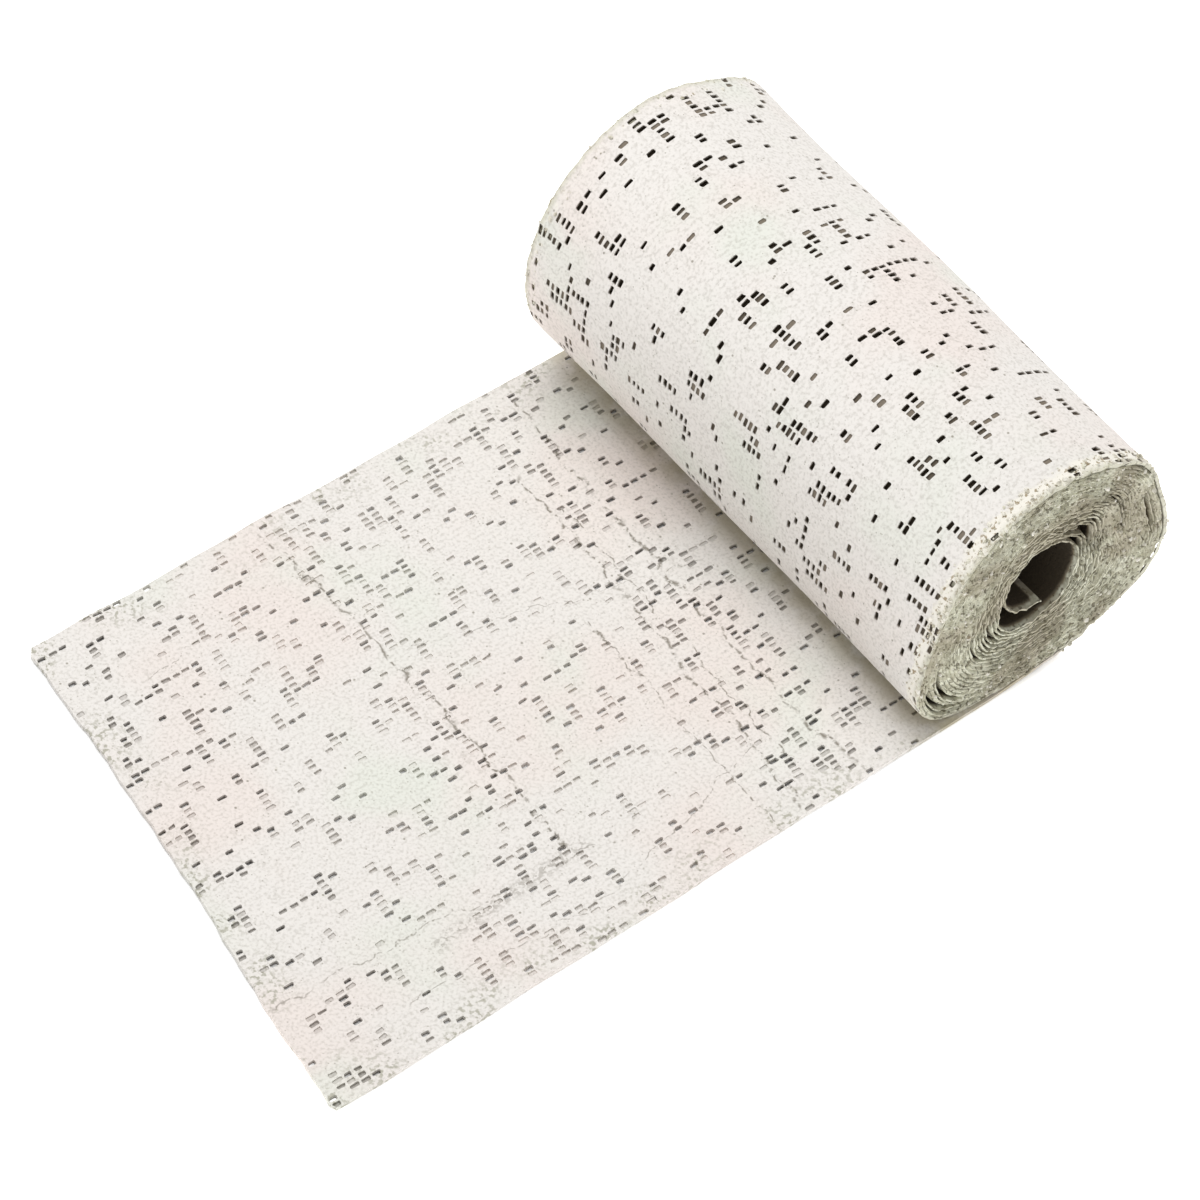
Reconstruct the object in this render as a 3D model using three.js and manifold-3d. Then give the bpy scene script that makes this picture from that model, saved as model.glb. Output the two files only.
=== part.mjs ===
// Plaster bandage roll: one strip of open gauze coated with dry plaster, wound up on itself around
// an empty bore, with its loose end laid out flat in front of the roll.
// Millimetres, +Z up. X runs along the strip, Y along the roll's axis, and -Y is the near side. The
// strip leaves the roll underneath, so the roll rests on its own strip, flat on the ground.
// The origin is the middle of the bounding box's bottom.

import * as THREE from 'three';
import { mergeVertices } from 'three/addons/utils/BufferGeometryUtils.js';
import Module from 'manifold-3d';

// Driving dimensions

// The strip: its width, the thickness of gauze and plaster, and how far its cut end lies from the
// point below the roll on the near side and on the far side, because the cut is slanted.
const STRIP_WIDTH = 100;
const STRIP_THICKNESS = 1.0;
const LOOSE_LENGTH_NEAR = 143.1;
const LOOSE_LENGTH_FAR = 124.4;
const STRIP_CORNER_RADIUS = 1.2;

// The roll's section is an oval: its half axes, the angle between the long axis and +X, how high its
// middle lies, and how far along X from the roll's own middle, because the roll stands slightly askew
// on the strip. The near end is wound tighter and has settled more than the far one.
const ROLL_NEAR = { long: 23.9, short: 23.0, lean: -84, shift: -1.1, height: 25.0 };
const ROLL_FAR = { long: 27.8, short: 26.8, lean: -45, shift: 1.3, height: 27.05 };
const ROLL_AXIS_X = 4.0;

// Corners that the settled turns push out of the oval: where they point, how wide they are in
// degrees, and how far they stand out on the two sides.
const CORNERS = [
  { at: 224, width: 28, near: 7.4, far: 1.2 },
  { at: 344, width: 28, near: 5.0, far: 0 },
];

// How much each end face gives way towards -Y for each millimetre along +X.
const END_SLANT_NEAR = 0.06;
const END_SLANT_FAR = 0.037;

// The bore, where the innermost turn was wound around a mandrel that has been pulled out, and the
// shallow dish around it on both end faces.
const BORE_RADIUS = 7.3;
const BORE_OFFSET_X = -0.3;
const BORE_OFFSET_Z = -1.1;
const DISH_RADIUS = 15;
const DISH_DEPTH = 0.8;
const DISH_MOUTH = 0.3;

// Where the roll's front edge comes down on the strip, as an angle short of the full turn, and the
// least gap between its last turn and the strip in front of that place.
const CREVICE_ANGLE = 16;
const CREVICE_GAP = 0.3;

// Mesh steps: around the roll, around the bore, along the loose end and across the width.
const ROLL_STEPS = 54;
const BORE_STEPS = 24;
const LOOSE_STEPS = 16;
const WIDTH_STEPS = 10;
const DISH_STEPS = 28;
const SLIT_STEPS = 8;
const SPIRAL_STEPS_A_TURN = 16;

// Slack turns that stand apart on both end faces. Angles are in degrees around the bore, counter-
// clockwise seen from -Y. start and end are shares of the way from the bore (0) to the outside (1).
const SLITS = [
  { from: 24, to: 76, start: 0.13, end: 0.19, width: 1.3, depth: 6 },
  { from: 192, to: 278, start: 0.11, end: 0.1, width: 1.5, depth: 6 },
  { from: 176, to: 242, start: 0.3, end: 0.25, width: 0.6, depth: 4 },
  { from: 208, to: 242, start: 0.9, end: 0.92, width: 0.8, depth: 4 },
  { from: -4, to: 22, start: 0.95, end: 0.91, width: 0.7, depth: 3 },
];

// The main turns that stand out on the end faces, as one shallow spiral groove. Slits and groove
// taper to a share of their width, and are cut from a little outside the face.
const BAND_END_WIDTH = 0.25;
const CUT_CLEARANCE = 4;
const MAIN_TURNS = { turns: 4, from: 250, start: 0.86, end: 0.34, width: 0.55, depth: 1.6 };

// Ridges across the loose end, where the plaster has cracked and the strip stands up a little.
// near and far are the ridge's place along X on the two sides of the strip. Lifts under the least
// one count as none, so that the rest lies truly flat.
const RIDGES = [
  { near: -31, far: -24.5, height: 0.4, width: 5 },
  { near: -85, far: -78, height: 0.3, width: 6 },
  { near: -129, far: -112, height: 0.25, width: 5 },
];
const LEAST_LIFT = 0.02;

// How far in front of the roll the strip is pressed flat by the roll's weight.
const PRESSED_LENGTH = 25;

// Small waves: of the cut end, of the strip's long edges, and bumps on the roll's outside and in the
// bore, where around is the number of bumps in a turn.
const CUT_WAVES = [{ height: 0.4, length: 6.5, start: 0 }, { height: 0.25, length: 2.7, start: 1 }];
const EDGE_WAVES = [{ height: 0.22, length: 7.3, start: 0 }, { height: 0.14, length: 3.1, start: 0 }];
const ROLL_BUMPS = [{ height: 0.18, length: 17, around: 3 }, { height: 0.14, length: 9, around: 2 }];
const BORE_BUMPS = [{ height: 0.6, start: -90, around: 2 }, { height: 0.12, start: 0, around: 5 }];

const HALF_WIDTH = STRIP_WIDTH / 2;
const FULL_TURN = 360;
const HALF_TURN = 180;
const FOOT = -90;
const CREVICE = FOOT + FULL_TURN - CREVICE_ANGLE;
const CLOSE = 1e-3;
const NEAR = 0;
const MIDDLE = 0.5;
const FAR = 1;
const radians = THREE.MathUtils.degToRad;
const mix = THREE.MathUtils.lerp;
const total = (values) => values.reduce((sum, value) => sum + value, 0);

// The section of roll and strip, in the plane of X and Z

// How far across the strip a place is, from 0 on the near side to 1 on the far side.
function across(y) {
  return (y + HALF_WIDTH) / STRIP_WIDTH;
}

// The way out of an end face along Y.
function outward(share) {
  return share === NEAR ? -1 : 1;
}

// The roll's oval at a place across the strip.
function ovalAt(share) {
  const long = mix(ROLL_NEAR.long, ROLL_FAR.long, share);
  const short = mix(ROLL_NEAR.short, ROLL_FAR.short, share);
  const lean = radians(mix(ROLL_NEAR.lean, ROLL_FAR.lean, share));
  const x = ROLL_AXIS_X + mix(ROLL_NEAR.shift, ROLL_FAR.shift, share);
  const z = mix(ROLL_NEAR.height, ROLL_FAR.height, share);
  return { long, short, lean, x, z };
}

// How far a corner stands out at an angle.
function cornerAt(corner, angle, share) {
  const past = THREE.MathUtils.euclideanModulo(angle - corner.at + HALF_TURN, FULL_TURN) - HALF_TURN;
  return mix(corner.near, corner.far, share) * Math.exp(-((past / corner.width) ** 2));
}

// A point of the roll's outside. The angle runs from the foot once around, over +X and the top, and
// the radius shrinks by one thickness on the way, because the outside is the last turn. It is flat
// below, where it lies on the ground or, after the full turn, on the strip.
function rollPoint(angle, share) {
  const oval = ovalAt(share);
  const turned = radians(angle) - oval.lean;
  const spread = Math.hypot(oval.short * Math.cos(turned), oval.long * Math.sin(turned));
  const corners = CORNERS.map((corner) => cornerAt(corner, angle, share));
  const edge = (oval.long * oval.short) / spread + total(corners);
  const radius = edge - (STRIP_THICKNESS * (angle - FOOT)) / FULL_TURN;
  const x = oval.x + radius * Math.cos(radians(angle));
  const z = oval.z + radius * Math.sin(radians(angle));
  const lowest = angle > HALF_TURN ? STRIP_THICKNESS + CREVICE_GAP : 0;
  return new THREE.Vector2(x, Math.max(z, lowest));
}

// A point of the bore's edge, which is a little out of round.
function borePoint(angle, share) {
  const oval = ovalAt(share);
  const bumps = BORE_BUMPS.map((bump) => bump.height * Math.sin(radians(bump.around * angle + bump.start)));
  const radius = BORE_RADIUS + total(bumps);
  const x = oval.x + BORE_OFFSET_X + radius * Math.cos(radians(angle));
  const z = oval.z + BORE_OFFSET_Z + radius * Math.sin(radians(angle));
  return new THREE.Vector2(x, z);
}

// A point among the turns, part of the way from the bore to the outside.
function woundPoint(angle, part, share) {
  const once = THREE.MathUtils.euclideanModulo(angle - FOOT, FULL_TURN) + FOOT;
  return borePoint(angle, share).lerp(rollPoint(once, share), part);
}

// The whole section halfway across: the strip's underside, the roll, the crevice between them and
// the strip's top, with the bore as its hole.
function sectionShape() {
  const crevice = rollPoint(CREVICE, MIDDLE);
  const underside = [];
  const top = [];
  for (let i = 0; i <= LOOSE_STEPS; i += 1) {
    const x = mix(-LOOSE_LENGTH_NEAR, crevice.x, i / LOOSE_STEPS);
    underside.push(new THREE.Vector2(x, 0));
    top.unshift(new THREE.Vector2(x, STRIP_THICKNESS));
  }
  const around = [];
  for (let i = 0; i <= ROLL_STEPS; i += 1) {
    around.push(rollPoint(mix(FOOT, CREVICE, i / ROLL_STEPS), MIDDLE));
  }
  const shape = new THREE.Shape([...underside, ...around, ...top]);
  const bore = [];
  for (let i = 0; i < BORE_STEPS; i += 1) {
    bore.push(borePoint((-FULL_TURN * i) / BORE_STEPS, MIDDLE));
  }
  shape.holes.push(new THREE.Path(bore));
  return shape;
}

// Unevenness

// How high the loose end stands off the ground.
function looseLift(x, y) {
  const lifts = RIDGES.map((ridge) => {
    const away = (x - mix(ridge.near, ridge.far, across(y))) / ridge.width;
    const fading = 0.6 + 0.4 * Math.sin(y / 9 + ridge.near);
    return ridge.height * fading * Math.exp(-away * away);
  });
  return Math.max(0, total(lifts) - LEAST_LIFT);
}

// The sum of some small waves at a place along an edge.
function waving(waves, place) {
  return total(waves.map((wave) => wave.height * Math.sin(place / wave.length + wave.start)));
}

// The cut end's distance from the point below the roll: slanted, a little ragged, corners rounded.
function looseReach(y) {
  const inCorner = Math.max(0, Math.abs(y) - HALF_WIDTH + STRIP_CORNER_RADIUS) / STRIP_CORNER_RADIUS;
  const rounding = STRIP_CORNER_RADIUS * (1 - Math.sqrt(Math.max(0, 1 - inCorner * inCorner)));
  const straight = mix(LOOSE_LENGTH_NEAR, LOOSE_LENGTH_FAR, across(y));
  return straight + waving(CUT_WAVES, y) - rounding;
}

// How far an end face gives way at a place, and all sections between the two faces with it.
function endSlant(x, share) {
  return -mix(END_SLANT_NEAR, END_SLANT_FAR, share) * (x - ROLL_AXIS_X);
}

// Moves a point of the loose end from the plain sweep to its place.
function settleLoose(point, creviceX) {
  const reach = looseReach(point.y) / LOOSE_LENGTH_NEAR;
  const free = THREE.MathUtils.smoothstep(creviceX - point.x, 0, PRESSED_LENGTH);
  const side = point.y / HALF_WIDTH;
  point.z += looseLift(point.x * reach, point.y) * free;
  point.y += waving(EDGE_WAVES, point.x) * free * side;
  point.x = creviceX + (point.x - creviceX) * reach;
}

// Moves a point of the bore from the plain sweep to its place.
function settleBore(point, middle, share) {
  const oval = ovalAt(share);
  point.x += oval.x - middle.x;
  point.z += oval.z - middle.z;
  point.y += endSlant(point.x, share);
}

// Moves a point of the roll's outside from the plain sweep to its place.
function settleOutside(point, middle, share) {
  const seen = THREE.MathUtils.radToDeg(Math.atan2(point.z - middle.z, point.x - middle.x));
  const angle = seen < FOOT - CLOSE ? seen + FULL_TURN : seen;
  const place = rollPoint(angle, share);
  const bumps = ROLL_BUMPS.map((bump) => {
    return bump.height * Math.sin(radians(bump.around * angle) + point.y / bump.length);
  });
  const clearOfGround = THREE.MathUtils.smoothstep(place.y, 2, 12);
  const raised = total(bumps) * clearOfGround;
  point.x = place.x + raised * Math.cos(radians(angle));
  point.z = place.y + raised * Math.sin(radians(angle));
  point.y += endSlant(point.x, share);
}

// Solids

// A closed geometry whose section is a shape in the plane of X and Z, swept along Y.
function sweepAlongY(shape, length, steps) {
  const geometry = new THREE.ExtrudeGeometry(shape, { depth: length, steps, bevelEnabled: false });
  geometry.rotateX(Math.PI / 2);
  geometry.translate(0, length / 2, 0);
  return geometry;
}

// The strip with its roll, before its end faces are cut.
function woundStrip() {
  const geometry = sweepAlongY(sectionShape(), STRIP_WIDTH, WIDTH_STEPS);
  const middle = ovalAt(MIDDLE);
  const creviceX = rollPoint(CREVICE, MIDDLE).x;
  const positions = geometry.getAttribute('position');
  const point = new THREE.Vector3();
  for (let i = 0; i < positions.count; i += 1) {
    point.fromBufferAttribute(positions, i);
    const share = across(point.y);
    const fromAxis = Math.hypot(point.x - middle.x, point.z - middle.z);
    if (point.x <= creviceX + CLOSE && point.z <= STRIP_THICKNESS + CLOSE) {
      settleLoose(point, creviceX);
    } else if (fromAxis < middle.short / 2) {
      settleBore(point, middle, share);
    } else {
      settleOutside(point, middle, share);
    }
    positions.setXYZ(i, point.x, point.y, point.z);
  }
  return geometry;
}

// A band between two neighbouring turns, from one angle to another, thinner towards its ends.
function bandShape(band, steps, share) {
  const outer = [];
  const inner = [];
  for (let i = 0; i <= steps; i += 1) {
    const along = i / steps;
    const angle = mix(band.from, band.to, along);
    const middle = woundPoint(angle, mix(band.start, band.end, along), share);
    const side = middle.clone().sub(borePoint(angle, share)).normalize();
    const taper = Math.max(BAND_END_WIDTH, Math.sqrt(Math.sin(Math.PI * along)));
    const half = (band.width / 2) * taper;
    outer.push(middle.clone().addScaledVector(side, half));
    inner.unshift(middle.clone().addScaledVector(side, -half));
  }
  return new THREE.Shape([...outer, ...inner]);
}

// Turns a cut with the slant of an end face and moves it there.
function atEnd(geometry, share, y) {
  const slant = Math.atan(mix(END_SLANT_NEAR, END_SLANT_FAR, share));
  geometry.translate(-ROLL_AXIS_X, 0, 0);
  geometry.rotateZ(-slant);
  geometry.translate(ROLL_AXIS_X, y, 0);
  return geometry;
}

// A band swept into an end face to the band's depth, and a little out of it.
function bandCut(band, steps, share) {
  const length = band.depth + CUT_CLEARANCE;
  const y = outward(share) * (HALF_WIDTH + CUT_CLEARANCE - length / 2);
  return atEnd(sweepAlongY(bandShape(band, steps, share), length, 1), share, y);
}

// The shallow dish around the bore, as a blunt cone whose sides run on a little out of the face.
function dishCut(share) {
  const oval = ovalAt(share);
  const widening = (DISH_RADIUS - BORE_RADIUS) / DISH_DEPTH;
  const height = DISH_DEPTH + DISH_MOUTH;
  const mouthRadius = DISH_RADIUS + widening * DISH_MOUTH;
  const dish = new THREE.CylinderGeometry(mouthRadius, BORE_RADIUS, height, DISH_STEPS);
  if (share === NEAR) {
    dish.rotateX(Math.PI);
  }
  dish.translate(oval.x + BORE_OFFSET_X, 0, oval.z + BORE_OFFSET_Z);
  return atEnd(dish, share, outward(share) * (HALF_WIDTH + DISH_MOUTH - height / 2));
}

// All that is cut from one end face: the dish, the slack turns and the main turns.
function endCuts(share) {
  const spiral = { ...MAIN_TURNS, to: MAIN_TURNS.from + FULL_TURN * MAIN_TURNS.turns };
  const slits = SLITS.map((slit) => bandCut(slit, SLIT_STEPS, share));
  const mainTurns = bandCut(spiral, SPIRAL_STEPS_A_TURN * MAIN_TURNS.turns, share);
  return [dishCut(share), ...slits, mainTurns];
}

const wasm = await Module();
wasm.setup();

// A geometry as a solid that can be cut.
function solidOf(geometry) {
  const bare = geometry.clone();
  bare.deleteAttribute('normal');
  bare.deleteAttribute('uv');
  const merged = mergeVertices(bare, 1e-4);
  return new wasm.Manifold(new wasm.Mesh({
    numProp: 3,
    vertProperties: new Float32Array(merged.getAttribute('position').array),
    triVerts: new Uint32Array(merged.index.array),
  }));
}

// A solid back to a geometry.
function geometryOf(solid) {
  const mesh = solid.getMesh();
  const geometry = new THREE.BufferGeometry();
  geometry.setAttribute('position', new THREE.BufferAttribute(new Float32Array(mesh.vertProperties), 3));
  geometry.setIndex(new THREE.BufferAttribute(new Uint32Array(mesh.triVerts), 1));
  geometry.computeVertexNormals();
  return geometry;
}

// The finished bandage, moved to its origin

function bandageGeometry() {
  let solid = solidOf(woundStrip());
  for (const cut of [...endCuts(NEAR), ...endCuts(FAR)]) {
    solid = solid.subtract(solidOf(cut));
  }
  const geometry = geometryOf(solid);
  geometry.computeBoundingBox();
  const { min, max } = geometry.boundingBox;
  geometry.translate(-(min.x + max.x) / 2, -(min.y + max.y) / 2, -min.z);
  return geometry;
}

const plasterGauze = new THREE.MeshStandardMaterial({ color: 0xe6e2da, roughness: 0.95, metalness: 0 });
const bandage = new THREE.Mesh(bandageGeometry(), plasterGauze);
bandage.name = 'wound_bandage';

const part = new THREE.Group();
part.add(bandage);

export default part;
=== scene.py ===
# %% [markdown]
# A plaster bandage roll. A maker coats a ten centimetre wide strip of open gauze with dry plaster and
# winds it up on itself; here a hand's length of it has been unrolled again and lies flat.
# The strip is built the way it is made: woven flat, with its open cells, then laid out and wound up.
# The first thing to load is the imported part, because every piece is made around it.

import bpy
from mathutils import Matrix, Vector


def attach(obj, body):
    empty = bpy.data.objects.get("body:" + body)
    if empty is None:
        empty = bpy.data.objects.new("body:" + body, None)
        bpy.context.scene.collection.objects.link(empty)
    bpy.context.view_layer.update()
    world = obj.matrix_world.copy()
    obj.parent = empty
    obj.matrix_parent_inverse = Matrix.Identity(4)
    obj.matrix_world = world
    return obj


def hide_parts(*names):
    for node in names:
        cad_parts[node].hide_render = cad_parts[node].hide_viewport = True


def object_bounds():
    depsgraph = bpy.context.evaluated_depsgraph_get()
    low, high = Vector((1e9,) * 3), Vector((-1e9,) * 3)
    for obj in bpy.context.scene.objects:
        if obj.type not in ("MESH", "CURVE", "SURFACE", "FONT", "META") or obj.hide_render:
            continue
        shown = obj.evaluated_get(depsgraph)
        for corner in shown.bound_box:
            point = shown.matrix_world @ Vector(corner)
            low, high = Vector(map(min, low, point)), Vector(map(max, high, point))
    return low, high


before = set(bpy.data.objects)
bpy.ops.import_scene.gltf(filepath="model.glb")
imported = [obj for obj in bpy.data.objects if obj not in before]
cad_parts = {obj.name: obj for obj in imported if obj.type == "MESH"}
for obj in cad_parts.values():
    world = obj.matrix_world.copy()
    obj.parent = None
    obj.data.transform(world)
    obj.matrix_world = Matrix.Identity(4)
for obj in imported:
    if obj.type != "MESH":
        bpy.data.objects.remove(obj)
cad_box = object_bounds()
print("the part's box in metres:", [round(x, 4) for corner in cad_box for x in corner])

# %% Libraries and the unit
import math

import bpy
import numpy as np
from mathutils import Matrix, Vector

MM = 0.001
NODE = "wound_bandage"

# %% [markdown]
# Blender's operators act on whatever is selected, and loading the part leaves it selected. So each
# step starts with nothing selected, and two small helpers hold that and other chores.

# %% Helpers for operators
def deselect():
    bpy.ops.object.select_all(action="DESELECT")


def activate(piece):
    deselect()
    piece.select_set(True)
    bpy.context.view_layer.objects.active = piece


def places(piece):
    """The piece's vertices as one array of rows x, y, z."""
    flat = np.zeros(len(piece.data.vertices) * 3)
    piece.data.vertices.foreach_get("co", flat)
    return flat.reshape(-1, 3)


def put(piece, rows):
    piece.data.vertices.foreach_set("co", np.asarray(rows, float).ravel())
    piece.data.update()


def mix(a, b, share):
    return a + (b - a) * share


def smooth(value, low, high):
    """0 below low, 1 above high, and a soft rise between them."""
    t = np.clip((value - low) / (high - low), 0, 1)
    return t * t * (3 - 2 * t)


# %% [markdown]
# Nothing on a plaster bandage is even. A sum of a few sine waves that run in random directions makes
# a soft random field with bumps of a chosen size. A fixed seed gives the same bumps on every run.

# %% Unevenness
WAVES_IN_A_FIELD = 11
USUAL_PEAK = 1.5


def uneven(seed, size, *axes):
    """A smooth random value from about -1 to 1 at each place, with bumps of about that size."""
    dice = np.random.default_rng(seed)
    field = 0
    for _ in range(WAVES_IN_A_FIELD):
        way = dice.normal(size=len(axes))
        way *= 2 * math.pi / size * dice.uniform(0.6, 1.5) / np.linalg.norm(way)
        phase = sum(w * axis for w, axis in zip(way, axes))
        field = field + np.sin(phase + dice.uniform(0, 2 * math.pi))
    return field / math.sqrt(WAVES_IN_A_FIELD) / USUAL_PEAK


# %% [markdown]
# The path of the strip comes next. It lies flat on the ground, goes under the roll, and winds up
# inwards from there, over the back and the top. The section of the roll is an oval whose turns have
# settled into two corners near the ground and a softer one at the top behind, with a slight hollow
# beside that. It differs from one end to the other: the near end is wound tighter and has settled
# more, and the roll stands slightly askew on its strip.
# Places here count from below the roll's middle, and the whole is moved onto the part's box later.

# %% The roll's sizes
STRIP_WIDTH = 100 * MM
HALF = STRIP_WIDTH / 2
LOOSE_NEAR = 143.1 * MM
LOOSE_FAR = 124.4 * MM
NEAR = {"long": 23.9 * MM, "short": 23.0 * MM, "lean": -84, "shift": -1.1 * MM, "height": 25.0 * MM}
FAR = {"long": 27.5 * MM, "short": 26.5 * MM, "lean": -45, "shift": 1.3 * MM, "height": 27.05 * MM}
CORNERS = [
    {"at": 224, "width": 28, "near": 7.4 * MM, "far": 1.8 * MM},
    {"at": 344, "width": 28, "near": 4.4 * MM, "far": 0},
    {"at": 41, "width": 21, "near": 1.75 * MM, "far": 1.3 * MM},
    {"at": 66, "width": 22, "near": 0, "far": -1.1 * MM},
]
AXIS_X = 4.0 * MM
FIRST_STEP = 1.0 * MM
BORE = 7.3 * MM
BORE_X = -0.3 * MM
BORE_Z = -1.1 * MM
INNER_TURNS = 23
END_SLANT_NEAR = 0.06
END_SLANT_FAR = 0.037
CUT_BEYOND_FOOT = 11
LAST_TURNED = 360 * (1 + INNER_TURNS) + CUT_BEYOND_FOOT


def share_of(v):
    """How far across the strip a place is: 0 at the near edge, 1 at the far one."""
    return (v + HALF) / STRIP_WIDTH


def oval(v):
    """The roll's half axes, lean in radians and middle, at a place across the strip."""
    share = share_of(v)
    long = mix(NEAR["long"], FAR["long"], share)
    short = mix(NEAR["short"], FAR["short"], share)
    lean = np.radians(mix(NEAR["lean"], FAR["lean"], share))
    x = AXIS_X + mix(NEAR["shift"], FAR["shift"], share)
    z = mix(NEAR["height"], FAR["height"], share)
    return long, short, lean, x, z


def corners_at(degrees, v):
    """How far the section stands out of the oval at an angle around the roll, or in where negative."""
    out = 0
    for corner in CORNERS:
        away = (np.mod(degrees - corner["at"] + 180, 360) - 180) / corner["width"]
        out = out + mix(corner["near"], corner["far"], share_of(v)) * np.exp(-away * away)
    return out


# %% [markdown]
# Wound cloth is never tight all over: near the bore and at a few places further out, a turn has
# slipped and stands apart from its neighbour. Each slack place pushes the turns on one side of it
# away, less and less towards the bore or the outside. The angle that it starts from counts the turns,
# so that the push begins and ends softly along the strip.

# %% Slack places
SLACK = [
    {"from": 24, "to": 78, "turns": 2.8, "gap": 1.6 * MM},
    {"from": 18, "to": 66, "turns": 1.2, "gap": 0.7 * MM},
    {"from": 188, "to": 284, "turns": 0.8, "gap": 1.3 * MM},
    {"from": 176, "to": 242, "turns": 4.2, "gap": 0.5 * MM},
    {"from": 20, "to": 110, "turns": 5.4, "gap": 0.45 * MM},
    {"from": 165, "to": 235, "turns": 8.4, "gap": 0.4 * MM},
    {"from": 8, "to": 58, "turns": 12.6, "gap": 0.4 * MM},
    {"from": 200, "to": 236, "turns": 18.6, "gap": 0.5 * MM},
    {"from": 208, "to": 244, "turns": 20.8, "gap": 0.7 * MM},
    {"from": -6, "to": 28, "turns": 20.4, "gap": 0.6 * MM},
]
MANY_TURNS = INNER_TURNS / 2


def slack_window(place, angle, left):
    """How wide open a slack place is at an angle, and the number of turns counted from the bore."""
    past = np.mod(angle - place["from"], 360)
    opening = place["to"] - place["from"]
    window = np.where(past < opening, np.sin(np.pi * np.clip(past / opening, 0, 1)) ** 0.8, 0)
    return window, left + past / 360


def slack_push(angle, left):
    """How far outwards the strip is pushed at an angle, with that many turns left to the bore."""
    part = np.clip(left / INNER_TURNS, 0, 1)
    push = 0
    for place in SLACK:
        window, count = slack_window(place, angle, left)
        level = place["turns"] / INNER_TURNS
        outwards = np.where(count > place["turns"], (1 - part) / (1 - level), 0)
        inwards = np.where(count > place["turns"], 0, -part / level)
        way = outwards if place["turns"] < MANY_TURNS else inwards
        push = push + place["gap"] * window * way
    return push


# %% [markdown]
# Now the winding itself: for an angle around the roll, the number of turns that are left to the bore
# and a place across the strip, this gives the strip's outer face and the way in to the middle. The
# first turn is the outside of the roll, and each later one lies a strip's thickness further in, until
# the innermost one leaves the bore open. Its cut end has sprung loose into the bore.

# %% The winding
BORE_BUMPS = [(0.6 * MM, 2, -90), (0.12 * MM, 5, 0)]
ROLL_BUMPS = [(0.18 * MM, 3, 17 * MM), (0.14 * MM, 2, 9 * MM)]
INNER_THICKNESS = 0.62 * MM
TAIL_DEGREES = 88
TAIL_LIFT = 2.7 * MM
WOBBLE = 0.16 * MM
WOBBLE_SIZE = 9 * MM


def among_turns(degrees, left, v):
    """x, z and the inward direction of the strip's outer face."""
    long, short, lean, middle_x, middle_z = oval(v)
    angle = np.radians(degrees)
    leaning = angle - lean
    edge = long * short / np.hypot(short * np.cos(leaning), long * np.sin(leaning))
    edge = edge + corners_at(degrees, v)
    edge = np.minimum(edge, middle_z / np.maximum(-np.sin(angle), 0.01))
    inner = np.clip(1 - left / INNER_TURNS, 0, 1)
    bumps = 0
    for height, around, start in BORE_BUMPS:
        bumps = bumps + height * np.sin(around * angle + math.radians(start))
    outer_radius = edge - FIRST_STEP * np.clip(INNER_TURNS + 1 - left, 0, 1)
    radius = mix(outer_radius, BORE + INNER_THICKNESS + bumps, inner) + slack_push(degrees, left)
    across, upwards = radius * np.cos(angle), radius * np.sin(angle)
    wobble = uneven(3, WOBBLE_SIZE, radius * 0.5, across, upwards, v * 0.3)
    radius = radius + WOBBLE * wobble * smooth(inner, 0.01, 0.12)
    tail = np.clip(1 - left * 360 / TAIL_DEGREES, 0, 1)
    radius = radius - TAIL_LIFT * np.sin(math.pi / 2 * tail)
    x = middle_x + BORE_X * inner + radius * np.cos(angle)
    z = middle_z + BORE_Z * inner + radius * np.sin(angle)
    raised = sum(height * np.sin(around * angle + v / length) for height, around, length in ROLL_BUMPS)
    raised = raised * smooth(z, 2 * MM, 12 * MM) * (1 - smooth(inner, 0, 0.1))
    x = x + raised * np.cos(angle)
    z = np.maximum(z + raised * np.sin(angle), 0)
    return x, z, -np.cos(angle), -np.sin(angle)


def wound(turned, v):
    """The same for a place that is wound that many degrees on from the foot of the roll."""
    return among_turns(turned - 90, (LAST_TURNED - turned) / 360, v)


def end_slant(x, v):
    """How far the roll's ends give way along Y, because they are not quite square to the roll."""
    return -mix(END_SLANT_NEAR, END_SLANT_FAR, share_of(v)) * (x - AXIS_X)


# %% [markdown]
# The loose end isn't quite flat either: where the plaster has cracked, low ridges run across it.

# %% The loose end's ridges
RIDGES = [
    {"near": -31, "far": -24.5, "height": 0.4, "width": 5},
    {"near": -44, "far": -35, "height": 0.2, "width": 4},
    {"near": -85, "far": -78, "height": 0.3, "width": 6},
    {"near": -129, "far": -112, "height": 0.25, "width": 5},
]
PRESSED = 25 * MM
EDGE_WAVES = [(0.12, 7.3), (0.07, 3.1)]
LYING_BUMPS = 0.07
LYING_CLEAR = 0.05


def loose_lift(x, v):
    """How high the strip's underside stands off the ground in front of the roll."""
    lift = 0
    for ridge in RIDGES:
        away = (x / MM - mix(ridge["near"], ridge["far"], share_of(v))) / ridge["width"]
        fading = 0.6 + 0.4 * np.sin(v / MM / 9 + ridge["near"])
        lift = lift + ridge["height"] * fading * np.exp(-away * away)
    lift = lift + LYING_BUMPS * uneven(11, 13, x / MM, v / MM) + LYING_CLEAR
    return np.maximum(lift * MM, 0) * smooth(-x, 0, PRESSED)


# %% [markdown]
# The camera looks down from the near left, through a long lens. Its place was worked out from the
# photograph by matching the outline of the solid part with it, and is given here as angles, a
# distance and the point that it aims at.

# %% Camera
AZIMUTH = math.radians(-47.90)
ELEVATION = math.radians(48.25)
ROLL = math.radians(8.99)
DISTANCE = 983.2 * MM
AIM = np.array([22.15, 12.99, -14.13]) * MM
FOCAL_PIXELS = 5883.2
IMAGE_PIXELS = 1200
SENSOR = 36
NEAREST_SEEN = 0.05
FARTHEST_SEEN = 20

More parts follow.
